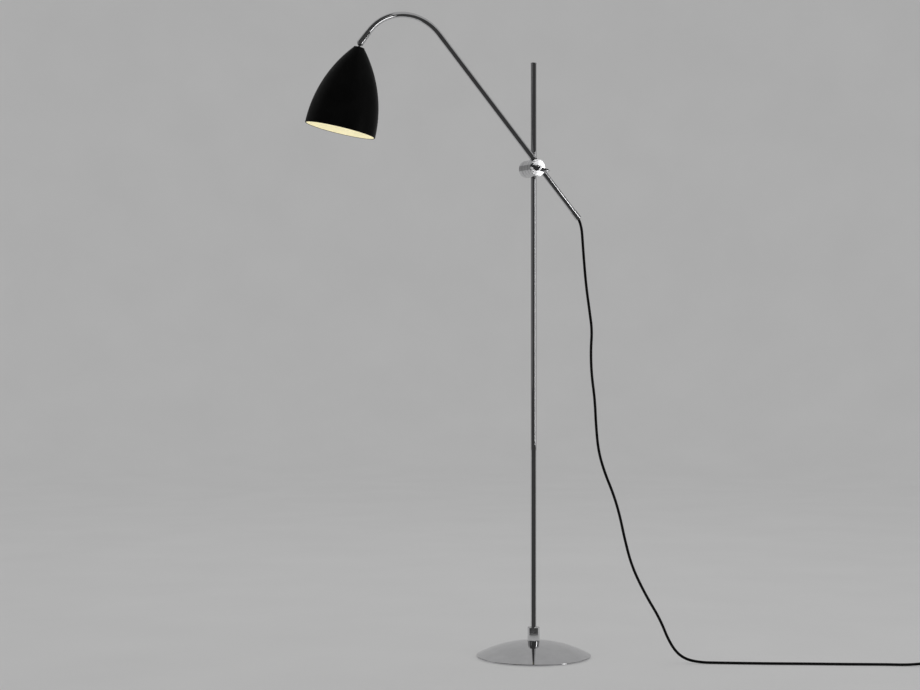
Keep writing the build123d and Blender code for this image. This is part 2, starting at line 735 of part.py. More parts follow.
BOOT_BORE = CORD_R + 0.05
BOOT_TIP_R = 3.7
with BuildPart() as switch_boots:
    for side in (1, -1):
        boot_frame = Plane(
            switch_frame.from_local_coords((side * (SWITCH_R - WALL), 0, SWITCH_CORD_H)),
            x_dir=(0, 0, 1),
            z_dir=switch_frame.x_dir * side,
        )
        with BuildSketch(section(boot_frame)):
            Polygon(
                (BOOT_BORE, 0),
                (3.9, 0),
                (3.9, WALL),
                (5.6, WALL + 0.3),
                (5.6, WALL + 2),
                (BOOT_TIP_R, BOOT_L + WALL),
                (BOOT_BORE, BOOT_L + WALL),
                align=None,
            )
        revolve(axis=axis_of(boot_frame))
save(switch_boots, "switch_boots")

# ---------------------------------------------------------------- lead, coil and plug
GROMMET_START = FERRULE_L - TUBE_IN_FERRULE
cord_start = arm_low + ARM_UP * (GROMMET_START + GROMMET_L)
LEAD_ROUTE = (
    cord_start,
    arm_low + ARM_UP * 1.0,
    (107, -24, 960),
    (111, -23.5, 945),
    (112.5, -24, 923),
    (114, -26.5, 885),
    (116.5, -32, 824),
    (121, -39.5, 766),
    (124, -45.5, 723),
    (119, -48, 679),
    (117, -54, 626),
    (119.5, -64, 570),
    (117.5, -72, 513),
    (118, -80.5, 458),
    (126, -92, 412),
    (141, -108, 360),
    (149, -120, 315),
    (154.5, -131.5, 263),
    (163.5, -146, 205),
    (184, -168.5, 145),
    (207, -190.5, 94),
    (219, -209, 44),
    (236, -226, 14.5),
    (266, -245, CORD_REST),
    (316, -278.5, CORD_REST),
    (388, -325, CORD_REST),
    (462, -367.5, CORD_REST),
    (536, -413.5, CORD_REST),
    (612.5, -457, CORD_REST),
    (648, -483, CORD_REST),
    switch_frame.from_local_coords((-46, 0, SWITCH_CORD_H)),
    switch_frame.from_local_coords((-12, 0, SWITCH_CORD_H)),
)
SWITCH_ROUTE = [
    switch_frame.from_local_coords(point)
    for point in ((12, 0, SWITCH_CORD_H), (46, 0, SWITCH_CORD_H), (72, 0, 5.0))
]
PLUG_ROUTE = [
    switch_frame.from_local_coords(point)
    for point in ((76, PLUG_Y, COIL_HIGH), (62, PLUG_Y, PLUG_H + 0.5), (45, PLUG_Y, PLUG_H))
]


def cord_path(name, route):
    """Straight runs joined by the largest tangent arcs that fit; prints the arcs' radii."""
    points = [Vector(*p) if isinstance(p, tuple) else p for p in route]
    runs = [b - a for a, b in zip(points, points[1:])]
    radii = []
    for before, after in zip(runs, runs[1:]):
        half_turn = math.radians(before.get_angle(after) / 2)
        radii.append(0.45 * min(before.length, after.length) / math.tan(half_turn))
    line = FilletPolyline(*points, radius=radii)
    print(name, "length", round(line.length, 1), "bend radii", [round(r) for r in radii])
    return line


for lead_name, route in (
    ("cord_lead", LEAD_ROUTE),
    ("cord_switch_lead", SWITCH_ROUTE),
    ("cord_plug_lead", PLUG_ROUTE),
):
    with BuildPart() as lead:
        with BuildLine():
            centre_line = cord_path(lead_name, route)
        with BuildSketch(Plane(centre_line @ 0, z_dir=centre_line % 0)):
            Circle(CORD_R)
        sweep()
    section_volume = math.pi * CORD_R**2 * centre_line.length
    print(lead_name, "volume over section times length", round(lead.part.volume / section_volume, 4))
    save(lead, lead_name)

COIL_IN = COIL_INNER_TURN - CORD_R
COIL_OUT = COIL_OUTER_TURN + CORD_R
COIL_FLOOR = COIL_LOW - CORD_R
COIL_DEEP = COIL_HIGH + CORD_R - COIL_FLOOR
with BuildPart(coil_frame) as cord_coil:
    with Locations((0, 0, COIL_FLOOR)):
        Cylinder(COIL_OUT, COIL_DEEP, align=UP_END)
        Cylinder(COIL_IN, COIL_DEEP, align=UP_END, mode=Mode.SUBTRACT)
    fillet(cord_coil.edges().filter_by(GeomType.CIRCLE), 2.5)
save(cord_coil, "cord_coil")

TIE_T = 0.8
TIE_W = 6.0
tie_plane = Plane(
    coil_frame.from_local_coords((COIL_IN / 2 + COIL_OUT / 2, 0, COIL_FLOOR + COIL_DEEP / 2)),
    x_dir=coil_frame.x_dir,
    z_dir=-coil_frame.y_dir,
)
with BuildPart() as cord_tie:
    with BuildSketch(tie_plane):
        RectangleRounded(COIL_OUT - COIL_IN + 0.4 + 2 * TIE_T, COIL_DEEP + 2 * TIE_T, 3)
        RectangleRounded(COIL_OUT - COIL_IN + 0.4, COIL_DEEP, 2.3, mode=Mode.SUBTRACT)
    extrude(amount=TIE_W / 2, both=True)
save(cord_tie, "cord_tie")

plug_frame = Plane(
    switch_frame.from_local_coords((PLUG_AT - PLUG_BOOT_L, PLUG_Y, PLUG_H)),
    x_dir=switch_frame.y_dir,
    z_dir=-switch_frame.x_dir,
)
PLUG_NECK_W = 15.0
PLUG_NECK_T = 12.0
PLUG_NECK_L = 12.0  # over which the neck widens to the full body
PLUG_W = 25.0
PLUG_T = 15.6
PLUG_CORNER = 5.0
with BuildPart() as plug_body:
    with BuildSketch(plug_frame):
        RectangleRounded(PLUG_NECK_W, PLUG_NECK_T, PLUG_CORNER)
    with BuildSketch(plug_frame.offset(PLUG_NECK_L)):
        RectangleRounded(PLUG_W, PLUG_T, PLUG_CORNER)
    loft()
    with BuildSketch(plug_frame.offset(PLUG_NECK_L)):
        RectangleRounded(PLUG_W, PLUG_T, PLUG_CORNER)
    extrude(amount=PLUG_BODY_L - PLUG_NECK_L)
    with BuildSketch(section(plug_frame)):
        Polygon((0, 0), (5.8, 0), (BOOT_TIP_R, -PLUG_BOOT_L), (0, -PLUG_BOOT_L), align=None)
    revolve(axis=axis_of(plug_frame))
    with BuildSketch(plug_frame.offset(-PLUG_BOOT_L - 1)):
        Circle(CORD_R + 0.5)
    extrude(amount=PLUG_BOOT_L - 7, mode=Mode.SUBTRACT)
save(plug_body, "plug_body")

with BuildPart(plug_frame.offset(PLUG_BODY_L)) as plug_blades:
    with Locations((BLADE_APART / 2, 0, 0), (-BLADE_APART / 2, 0, 0)):
        Box(1.5, 6.3, BLADE_L, align=UP_END)
save(plug_blades, "plug_blades")
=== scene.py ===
import json
import math

import bmesh
import bpy
from mathutils import Matrix, Vector

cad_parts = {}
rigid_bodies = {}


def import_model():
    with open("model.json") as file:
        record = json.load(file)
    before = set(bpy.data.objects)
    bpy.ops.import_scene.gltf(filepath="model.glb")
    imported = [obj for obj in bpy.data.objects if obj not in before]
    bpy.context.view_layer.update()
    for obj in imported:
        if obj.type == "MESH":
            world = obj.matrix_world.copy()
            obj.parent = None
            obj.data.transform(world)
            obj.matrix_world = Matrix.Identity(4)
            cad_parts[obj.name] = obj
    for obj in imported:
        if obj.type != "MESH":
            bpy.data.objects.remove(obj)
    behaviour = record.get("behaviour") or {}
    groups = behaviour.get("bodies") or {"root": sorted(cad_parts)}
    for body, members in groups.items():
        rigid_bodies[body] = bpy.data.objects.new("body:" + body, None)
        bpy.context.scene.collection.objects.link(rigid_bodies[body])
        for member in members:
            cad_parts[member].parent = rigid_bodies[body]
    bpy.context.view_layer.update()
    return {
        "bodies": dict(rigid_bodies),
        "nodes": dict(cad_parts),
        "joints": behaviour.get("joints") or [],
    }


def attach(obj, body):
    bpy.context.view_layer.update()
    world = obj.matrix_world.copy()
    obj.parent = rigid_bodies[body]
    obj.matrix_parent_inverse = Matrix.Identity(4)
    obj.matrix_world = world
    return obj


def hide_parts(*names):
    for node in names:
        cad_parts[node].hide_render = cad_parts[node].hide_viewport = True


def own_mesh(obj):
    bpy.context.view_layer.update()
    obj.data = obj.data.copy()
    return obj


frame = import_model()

nodes = frame["nodes"]
joints = {joint["name"]: joint for joint in frame["joints"]}
MM = 0.001

# ---------------------------------------- places and sizes, in metres
ARM_UP = -Vector(joints["arm_slide"]["axis"])
ARM_GRIP = Vector(joints["arm_roll"]["pos_m"])
ARM_BELOW = 154.8 * MM
ARM_LOW = ARM_GRIP - ARM_UP * ARM_BELOW  # mouth of the ferrule
SHADE_TOP = Vector(joints["shade_spin"]["pos_m"])
SHADE_DIR = Vector(joints["shade_spin"]["axis"])
TILT_AXIS = Vector(joints["shade_tilt"]["axis"])
CORD_R = 3.0 * MM
CORD_REST = 3.1 * MM  # height of the lead's middle where it lies on the floor


def frame_at(origin, along, across):
    """Matrix whose Z runs along, with X as near to across as a right angle allows."""
    z = Vector(along).normalized()
    y = z.cross(Vector(across)).normalized()
    x = y.cross(z)
    turn = Matrix((x, y, z)).transposed().to_4x4()
    return Matrix.Translation(Vector(origin)) @ turn


SHADE = frame_at(SHADE_TOP, SHADE_DIR, TILT_AXIS)
SWITCH_TURN = math.radians(-28)
SWITCH_ALONG = (math.cos(SWITCH_TURN), math.sin(SWITCH_TURN), 0)
SWITCH = frame_at((0.723, -0.525, 0), (0, 0, 1), SWITCH_ALONG)

# ---------------------------------------- camera
VIEW_TURN = -28.0  # of the photograph's camera about +Z, in degrees from a view along +Y
CAMERA_AT = (-0.163, -4.0, 0.69)  # before that turn

camera_turn = Matrix.Rotation(math.radians(VIEW_TURN), 4, "Z")
camera_data = bpy.data.cameras.new("camera")
camera_data.sensor_width = 36.0
camera_data.lens = 70.67
camera_data.clip_start = 0.05
camera_data.clip_end = 60.0
camera = bpy.data.objects.new("camera", camera_data)
bpy.context.scene.collection.objects.link(camera)
upright = Matrix.Rotation(math.radians(90), 4, "X")
camera.matrix_world = camera_turn @ Matrix.Translation(CAMERA_AT) @ upright
bpy.context.scene.camera = camera
bpy.context.scene.view_settings.view_transform = "Standard"

# ---------------------------------------- materials


class Nodes:
    """A material's node tree, with short calls for what the materials share."""

    def __init__(self, name):
        self.material = bpy.data.materials.new(name)
        self.material.use_nodes = True
        self.tree = self.material.node_tree
        self.shader = self.tree.nodes["Principled BSDF"]
        self.coordinates = self.tree.nodes.new("ShaderNodeTexCoord").outputs["Object"]

    def add(self, kind, **values):
        node = self.tree.nodes.new(kind)
        for key, value in values.items():
            node.inputs[key].default_value = value
        return node

    def link(self, output, socket):
        self.tree.links.new(output, socket)

    def noise(self, scale, detail):
        noise = self.add("ShaderNodeTexNoise", Scale=scale, Detail=detail)
        self.link(self.coordinates, noise.inputs["Vector"])
        return noise.outputs["Fac"]

    def feed(self, source, stops, *sockets):
        """Drives the shader's sockets by a ramp. stops is two of (position, grey or colour)."""
        node = self.add("ShaderNodeValToRGB")
        self.link(source, node.inputs["Fac"])
        for element, (position, value) in zip(node.color_ramp.elements, stops):
            element.position = position
            rgb = (value,) * 3 if isinstance(value, (int, float)) else value
            element.color = (*rgb, 1.0)
        for socket in sockets:
            self.link(node.outputs["Color"], self.shader.inputs[socket])

    def bump(self, height, strength, distance):
        node = self.add("ShaderNodeBump", Strength=strength, Distance=distance)
        self.link(height, node.inputs["Height"])
        self.link(node.outputs["Normal"], self.shader.inputs["Normal"])

    def set(self, **values):
        for key, value in values.items():
            self.shader.inputs[key.replace("_", " ")].default_value = value


def chrome():
    """Mirror plate: almost no roughness, with handling smudges and a faint polishing ripple."""
    m = Nodes("chrome")
    m.set(Metallic=1.0)
    smudge = m.noise(38.0, 5.0)
    m.feed(smudge, [(0.35, (0.66, 0.66, 0.67)), (0.75, (0.72, 0.72, 0.73))], "Base Color")
    m.feed(smudge, [(0.42, 0.02), (0.8, 0.07)], "Roughness")
    m.bump(m.noise(120.0, 2.0), 0.02, 0.0004)
    return m.material


def turned_chrome():
    """The same plate on turned pieces, with a finer and duller grain."""
    m = Nodes("turned_chrome")
    m.set(Metallic=1.0)
    smudge = m.noise(60.0, 4.0)
    m.feed(smudge, [(0.3, (0.66, 0.66, 0.67)), (0.8, (0.74, 0.74, 0.75))], "Base Color")
    m.feed(m.noise(900.0, 2.0), [(0.3, 0.05), (0.8, 0.13)], "Roughness")
    m.bump(m.noise(700.0, 2.0), 0.03, 0.0002)
    return m.material


def steel():
    m = Nodes("zinc_steel")
    m.set(Metallic=1.0)
    patch = m.noise(160.0, 4.0)
    m.feed(patch, [(0.3, (0.32, 0.32, 0.33)), (0.75, (0.5, 0.5, 0.5))], "Base Color")
    m.feed(patch, [(0.3, 0.42), (0.75, 0.28)], "Roughness")
    m.bump(m.noise(1500.0, 3.0), 0.15, 0.0001)
    return m.material


def cast_iron():
    m = Nodes("cast_iron")
    m.set(Metallic=0.3, Roughness=0.7)
    m.feed(m.noise(90.0, 6.0), [(0.3, 0.02), (0.75, 0.07)], "Base Color")
    m.bump(m.noise(420.0, 6.0), 0.8, 0.0006)
    return m.material


def satin_black():
    """Black lacquer with a fine orange peel and a dusting that dulls it here and there."""
    m = Nodes("satin_black")
    m.set(Specular_IOR_Level=0.05)
    m.feed(m.noise(25.0, 5.0), [(0.3, 0.0035), (0.8, 0.006)], "Base Color")
    m.feed(m.noise(70.0, 5.0), [(0.3, 0.38), (0.8, 0.46)], "Roughness")
    m.bump(m.noise(900.0, 2.0), 0.08, 0.0002)
    return m.material


def cream_enamel_painted_glow():
    """The shade's inside: warm white enamel, with a painted glow standing in for the bulb's light
    falling on it.
    """
    m = Nodes("cream_enamel_painted_glow")
    # painted light: the enamel glows by its own emission, its tones fed to Emission Color as
    # well, in place of the bulb lighting it
    m.set(Roughness=0.4, Emission_Strength=0.34)
    tones = [(0.3, (0.76, 0.73, 0.55)), (0.8, (0.82, 0.79, 0.62))]
    m.feed(m.noise(30.0, 4.0), tones, "Base Color", "Emission Color")
    m.bump(m.noise(700.0, 2.0), 0.1, 0.0002)
    return m.material


def black_plastic():
    """Moulded plastic with a spark-eroded grain."""
    m = Nodes("black_plastic")
    m.feed(m.noise(300.0, 4.0), [(0.3, 0.006), (0.8, 0.013)], "Base Color")
    m.feed(m.noise(900.0, 3.0), [(0.3, 0.38), (0.8, 0.55)], "Roughness")
    m.bump(m.noise(1800.0, 3.0), 0.35, 0.0002)
    return m.material


def sheath():
    """The lead's smooth black sheath, a little uneven along its length."""
    m = Nodes("cord_sheath")
    m.set(Specular_IOR_Level=0.22)
    m.feed(m.noise(60.0, 4.0), [(0.3, 0.002), (0.8, 0.006)], "Base Color")
    m.feed(m.noise(250.0, 4.0), [(0.3, 0.42), (0.8, 0.6)], "Roughness")
    m.bump(m.noise(500.0, 4.0), 0.25, 0.0003)
    return m.material


def pad_rubber():
    m = Nodes("pad_rubber")
    m.feed(m.noise(140.0, 5.0), [(0.3, 0.012), (0.8, 0.03)], "Base Color")
    m.set(Roughness=0.85)
    m.bump(m.noise(600.0, 4.0), 0.5, 0.0003)
    return m.material


def brass():
    m = Nodes("brass")
    m.set(Metallic=1.0)
    tarnish = m.noise(130.0, 5.0)
    m.feed(tarnish, [(0.3, (0.6, 0.42, 0.17)), (0.8, (0.8, 0.6, 0.3))], "Base Color")
    m.feed(tarnish, [(0.3, 0.36), (0.8, 0.2)], "Roughness")
    m.bump(m.noise(900.0, 3.0), 0.1, 0.0001)
    return m.material


def nylon():
    m = Nodes("nylon")
    m.feed(m.noise(220.0, 4.0), [(0.3, 0.02), (0.8, 0.05)], "Base Color")
    m.set(Roughness=0.5)
    m.bump(m.noise(1200.0, 3.0), 0.2, 0.0001)
    return m.material


def lit_glass():
    """The frosted bulb, alight: brightest where the frost is thin."""
    m = Nodes("lit_bulb")
    m.set(Roughness=0.35, Emission_Strength=1.1)
    tones = [(0.3, (1.0, 0.89, 0.70)), (0.8, (1.0, 0.94, 0.80))]
    m.feed(m.noise(70.0, 4.0), tones, "Base Color", "Emission Color")
    m.bump(m.noise(1300.0, 2.0), 0.15, 0.0001)
    return m.material


def grey(value):
    """Linear brightness of a display grey from 0 to 255."""
    x = value / 255
    return x / 12.92 if x < 0.04045 else ((x + 0.055) / 1.055) ** 2.4


def backdrop():
    """The studio's paper: one pale grey with a faint mottle, and a little light of its own."""
    m = Nodes("backdrop")
    m.set(Roughness=1.0, Specular_IOR_Level=0.0, Emission_Strength=0.485)
    tones = [(0.3, grey(179)), (0.8, grey(182))]
    m.feed(m.noise(3.0, 4.0), tones, "Emission Color", "Base Color")
    m.bump(m.noise(400.0, 3.0), 0.05, 0.0005)
    return m.material


def cloth(name, base, glow):
    """Studio cloth with a faint glow, uneven as cloth is."""
    m = Nodes(name)
    m.set(Roughness=1.0, Specular_IOR_Level=0.0, Emission_Strength=1.0)
    m.feed(m.noise(2.0, 3.0), [(0.3, base * 0.8), (0.8, base * 1.2)], "Base Color")
    m.feed(m.noise(1.0, 2.0), [(0.3, glow * 0.85), (0.8, glow * 1.15)], "Emission Color")
    return m.material


LOOKS = {
    "chrome": chrome(),
    "turned": turned_chrome(),
    "steel": steel(),
    "iron": cast_iron(),
    "black": satin_black(),
    "cream": cream_enamel_painted_glow(),
    "plastic": black_plastic(),
    "cord": sheath(),
    "pad": pad_rubber(),
    "brass": brass(),
    "nylon": nylon(),
    "glass": lit_glass(),
    "backdrop": backdrop(),
    "flag": cloth("flag", 0.015, 0.045),
    "wing": cloth("wing", 0.1, 0.2),
}

# ---------------------------------------- mesh tools


def to_mesh(name, shape):
    mesh = bpy.data.meshes.new(name)
    shape.to_mesh(mesh)
    shape.free()
    return mesh


def piece(name, mesh, looks, body, crease=35.0):
    """Makes a mesh a smooth-shaded piece that rides on a body."""
    for look in looks:
        mesh.materials.append(LOOKS[look])
    mesh.shade_smooth()
    mesh.set_sharp_from_angle(angle=math.radians(crease))
    made = bpy.data.objects.new(name, mesh)
    bpy.context.scene.collection.objects.link(made)
    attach(made, body)
    return made


def lathe_mesh(name, outline, place, segments, closed=True, bands=None):
    """Turns (radius, height) points about the Z axis of place.

    bands gives the material number of each stretch of the outline.
    """
    shape = bmesh.new()
    rings = []
    for r, h in outline:
        if r < 1e-7:
            rings.append([shape.verts.new(place @ Vector((0, 0, h)))])
            continue
        ring = []
        for k in range(segments):
            angle = 2 * math.pi * k / segments
            point = Vector((r * math.cos(angle), r * math.sin(angle), h))
            ring.append(shape.verts.new(place @ point))
        rings.append(ring)
    pairs = list(zip(rings, rings[1:]))
    if closed:
        pairs.append((rings[-1], rings[0]))
    for number, (low, high) in enumerate(pairs):
        for k in range(segments):
            corners = [low[k % len(low)], low[(k + 1) % len(low)]]
            corners += [high[(k + 1) % len(high)], high[k % len(high)]]
            corners = list(dict.fromkeys(corners))  # a ring of one point makes triangles
            if len(corners) > 2:
                face = shape.faces.new(corners)
                face.material_index = bands[number] if bands else 0
    bmesh.ops.recalc_face_normals(shape, faces=shape.faces)
    return to_mesh(name, shape)


def tube_mesh(name, line, radius, sides):
    """A solid round bar along points, with square ends."""
    shape = bmesh.new()
    upward = abs((line[1] - line[0]).normalized().z) >= 0.9
    across = Vector((1, 0, 0)) if upward else Vector((0, 0, 1))
    rings = []
    for k, point in enumerate(line):
        ahead = line[min(k + 1, len(line) - 1)]
        behind = line[max(k - 1, 0)]
        along = (ahead - behind).normalized()
        across = (across - along * across.dot(along)).normalized()
        up = along.cross(across)
        ring = []
        for side in range(sides):
            angle = 2 * math.pi * side / sides
            offset = across * math.cos(angle) + up * math.sin(angle)
            ring.append(shape.verts.new(point + offset * radius))
        rings.append(ring)
    for low, high in zip(rings, rings[1:]):
        for k in range(sides):
            n = (k + 1) % sides
            shape.faces.new((low[k], low[n], high[n], high[k]))
    for ring in (rings[0], rings[-1]):
        shape.faces.new(ring)
    bmesh.ops.recalc_face_normals(shape, faces=shape.faces)
    return to_mesh(name, shape)


def spline_line(points, resolution):
    """Points along the smooth NURBS line that has these control points."""
    curve = bpy.data.curves.new("line", "CURVE")
    curve.dimensions = "3D"
    spline = curve.splines.new("NURBS")
    spline.points.add(len(points) - 1)
    for control, point in zip(spline.points, points):
        control.co = (*point, 1.0)
    spline.order_u = 3
    spline.use_endpoint_u = True
    spline.resolution_u = resolution
    holder = bpy.data.objects.new("line", curve)
    bpy.context.scene.collection.objects.link(holder)
    mesh = bpy.data.meshes.new_from_object(holder)
    line = [vertex.co.copy() for vertex in mesh.vertices]
    bpy.data.objects.remove(holder)
    bpy.data.curves.remove(curve)
    bpy.data.meshes.remove(mesh)
    return line


# ---------------------------------------- the lead, from arm to foot switch


def in_switch(x, y, z):
    """A place given in millimetres from the foot switch's middle on the floor."""
    return SWITCH @ Vector((x * MM, y * MM, z * MM))


ON_FLOOR = CORD_REST / MM
SWITCH_CORD_H = 7.0
GROMMET_AT = 18.7 * MM  # above the ferrule's mouth, where the lead is gripped
LEAD_SIDES = 20
lead_route = [ARM_LOW + ARM_UP * GROMMET_AT, ARM_LOW + ARM_UP * MM]
lead_route += [
    Vector(point) * MM
    for point in (
        (107, -24, 960),
        (111, -23.5, 945),
        (112.5, -24, 923),
        (114, -26.5, 885),
        (116.5, -32, 824),
        (121, -39.5, 766),
        (124, -45.5, 723),
        (119, -48, 679),
        (117, -54, 626),
        (119.5, -64, 570),
        (117.5, -72, 513),
        (118, -80.5, 458),
        (126, -92, 412),
        (141, -108, 360),
        (149, -120, 315),
        (154.5, -131.5, 263),
        (163.5, -146, 205),
        (184, -168.5, 145),
        (207, -190.5, 94),
        (219, -209, 44),
        (236, -226, 14.5),
        (266, -245, ON_FLOOR),
        (316, -278.5, ON_FLOOR),
        (388, -325, ON_FLOOR),
        (462, -367.5, ON_FLOOR),
        (536, -413.5, ON_FLOOR),
        (612.5, -457, ON_FLOOR),
        (648, -483, ON_FLOOR),
    )
]
lead_route += [in_switch(-46, 0, SWITCH_CORD_H), in_switch(-12, 0, SWITCH_CORD_H)]

# ---------------------------------------- and the tied turns of the rest of it
COIL_X, COIL_Y = 84.0, -36.3  # in the switch's frame, in millimetres like the rest of these
COIL_INNER = 30.3
COIL_OUTER = 36.3
COIL_LOW = 3.9
COIL_HIGH = 9.9
COIL_TURNS = (  # radius and height of each turn, and the share of a turn that it takes
    (COIL_OUTER, COIL_LOW, 1.0),
    (COIL_INNER, COIL_LOW, 1.0),
    (COIL_INNER, COIL_HIGH, 1.0),
    (COIL_OUTER, COIL_HIGH, 0.5),
)
TURN_POINTS = 16
SWELL = 1.0 / math.cos(math.pi / TURN_POINTS / 2)  # the line runs inside its control points
BLEND = 0.2  # share of a turn over which it goes halfway to its neighbour
PLUG_Y = COIL_Y - COIL_OUTER
PLUG_H = 8.0


def coil_place(number, part_done):
    """Radius and height at a part of one of the coil's turns."""
    radius, height, _ = COIL_TURNS[number]
    if number + 1 < len(COIL_TURNS) and part_done > 1 - BLEND:
        beside, over = COIL_TURNS[number + 1], (part_done - (1 - BLEND)) / BLEND
    elif number > 0 and part_done < BLEND:
        beside, over = COIL_TURNS[number - 1], (BLEND - part_done) / BLEND
    else:
        return radius * SWELL, height
    r = radius * SWELL + (beside[0] - radius) * over * 0.5
    return r, height + (beside[1] - height) * over * 0.5


coil_route = [
    in_switch(12, 0, SWITCH_CORD_H),
    in_switch(46, 0, SWITCH_CORD_H),
    in_switch(72, 0, 5.0),
]
done = 0.0
for number, (_, _, share) in enumerate(COIL_TURNS):
    steps = round(TURN_POINTS * share)
    for step in range(steps):
        part_done = (step + 0.5) / steps
        angle = math.radians(90) - 2 * math.pi * (done + part_done * share)
        r, height = coil_place(number, part_done)
        x, y = COIL_X + r * math.cos(angle), COIL_Y + r * math.sin(angle)
        coil_route.append(in_switch(x, y, height))
    done += share
coil_route += [
    in_switch(76, PLUG_Y, COIL_HIGH),
    in_switch(62, PLUG_Y, PLUG_H + 0.5),
    in_switch(45, PLUG_Y, PLUG_H),
]

lead_line = spline_line(lead_route, 8)
plug_line = spline_line(coil_route, 6)

lead_mesh = tube_mesh("lead", lead_line, CORD_R, LEAD_SIDES)
lead = piece("lead", lead_mesh, ["cord"], "base", 60.0)
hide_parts("cord_lead")
coil_mesh = tube_mesh("coiled_lead", plug_line, CORD_R, 16)
coiled_lead = piece("coiled_lead", coil_mesh, ["cord"], "base", 60.0)
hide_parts("cord_coil", "cord_switch_lead", "cord_plug_lead")


def follow_arm():
    """Lets the lead's top turn and move with the arm, and the rest move less the lower it is."""
    marker = bpy.data.objects.new("lead_exit", None)
    turner = bpy.data.objects.new("lead_turn", None)
    mover = bpy.data.objects.new("lead_move", None)
    for helper in (marker, turner, mover):
        helper.location = ARM_LOW
        bpy.context.scene.collection.objects.link(helper)
    marker.parent = frame["bodies"]["arm"]
    turning = turner.constraints.new("COPY_ROTATION")
    turning.target = marker
    moving = mover.constraints.new("COPY_LOCATION")
    moving.target = marker
    bpy.context.view_layer.update()

    travel = [0.0]
    for a, b in zip(lead_line, lead_line[1:]):
        travel.append(travel[-1] + (b - a).length)
    stiff = 0.03  # along the lead, where it stops turning fully with the arm
    turn_over = 0.11  # and where it stops turning with it at all
    exit_height = ARM_LOW.z - CORD_REST
    for name, helper in (("turn", turner), ("move", mover)):
        group = lead.vertex_groups.new(name=name)
        for ring, (s, point) in enumerate(zip(travel, lead_line)):
            if name == "turn":
                share = min(max((turn_over - s) / (turn_over - stiff), 0.0), 1.0)
                weight = share * share * (3 - 2 * share)
            else:  # by height, so that it never goes below the floor when the arm comes down
                weight = min(max((point.z - CORD_REST) / exit_height, 0.0), 1.0)
            if weight > 0:
                around = range(ring * LEAD_SIDES, (ring + 1) * LEAD_SIDES)
                group.add(around, weight, "REPLACE")
        hook = lead.modifiers.new(name, "HOOK")
        hook.object = helper
        hook.vertex_group = name
        hook.falloff_type = "NONE"
        hook.matrix_inverse = helper.matrix_world.inverted() @ lead.matrix_world


follow_arm()

# ---------------------------------------- the foot switch's spring, in millimetres
SPRING_R = 5.0
SPRING_WIRE = 0.5  # the wire's radius
SPRING_PITCH = 3.5
SPRING_LOW = 11.0
SPRING_TOP = 24.5
SPRING_STEPS = 108
spring_rise = SPRING_TOP - SPRING_LOW - 2 * SPRING_WIRE
spring_line = []
for step in range(SPRING_STEPS + 1):
    part_done = step / SPRING_STEPS
    angle = 2 * math.pi * part_done * spring_rise / SPRING_PITCH
    height = SPRING_LOW + SPRING_WIRE + spring_rise * part_done
    offset = Vector((SPRING_R * math.cos(angle), SPRING_R * math.sin(angle), height)) * MM
    spring_line.append(SWITCH.translation + offset)
spring_mesh = tube_mesh("button_spring", spring_line, SPRING_WIRE * MM, 12)
button_spring = piece("button_spring", spring_mesh, ["steel"], "base")
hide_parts("switch_spring")
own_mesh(button_spring)

# ---------------------------------------- the shade, black outside and cream inside
SHADE_L = 178.5 * MM
SHEET = 1.2 * MM
SHADE_ARC_R = 271.4 * MM
SHADE_ARC_ALONG = 176.0 * MM  # centre of the bell's arc, along the axis
SHADE_ARC_OUT = -196.4 * MM  # and off it
STUD_HOLE_R = 3.05 * MM
SHOULDER = 1.6 * MM
BEAD_R = 1.0 * MM
BELL_STEPS = 56
SHOULDER_STEPS = 5
BEAD_STEPS = 9


def bell(along, inset=0.0):
    """Radius of the bell at a distance from its top."""
    return SHADE_ARC_OUT + math.sqrt((SHADE_ARC_R - inset) ** 2 - (along - SHADE_ARC_ALONG) ** 2)


side_length = SHADE_L - BEAD_R - SHOULDER
down_side = [SHOULDER + side_length * (k / BELL_STEPS) ** 1.25 for k in range(BELL_STEPS + 1)]
shoulder_r = bell(SHOULDER)
outline = [(STUD_HOLE_R, 0.0), (shoulder_r * 0.6, 0.0)]
for step in range(SHOULDER_STEPS + 1):
    turn = math.radians(90 * step / SHOULDER_STEPS)
    r = shoulder_r - SHOULDER * 0.8 * (1 - math.sin(turn))
    outline.append((r, SHOULDER * (1 - math.cos(turn))))
outline += [(bell(h), h) for h in down_side[1:]]
bead_middle = bell(SHADE_L - BEAD_R) - BEAD_R
for step in range(1, BEAD_STEPS + 1):  # the edge, rolled inwards
    turn = math.radians(180 * step / BEAD_STEPS)
    r = bead_middle + BEAD_R * math.cos(turn) - (BEAD_R * 0.55) * step / BEAD_STEPS
    outline.append((r, SHADE_L - BEAD_R + BEAD_R * math.sin(turn)))
lip = len(outline) - 1
outline.append((bell(SHADE_L, SHEET) - BEAD_R - 0.2 * MM, SHADE_L - 1.9 * BEAD_R))
inside = [h for h in reversed(down_side) if SHEET * 2 < h < SHADE_L - 3 * BEAD_R]
outline += [(bell(h, SHEET), h) for h in inside]
outline += [
    (shoulder_r - 2.6 * MM, SHEET * 1.2),
    (shoulder_r - 4.5 * MM, SHEET),
    (STUD_HOLE_R, SHEET),
]
bands = [0 if k < lip - 1 else 1 for k in range(len(outline))]  # black, then cream
shade_mesh = lathe_mesh("bell_shade", outline, SHADE, 144, bands=bands)
bell_shade = piece("bell_shade", shade_mesh, ["black", "cream"], "shade")
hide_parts("shade", "shade_rim")

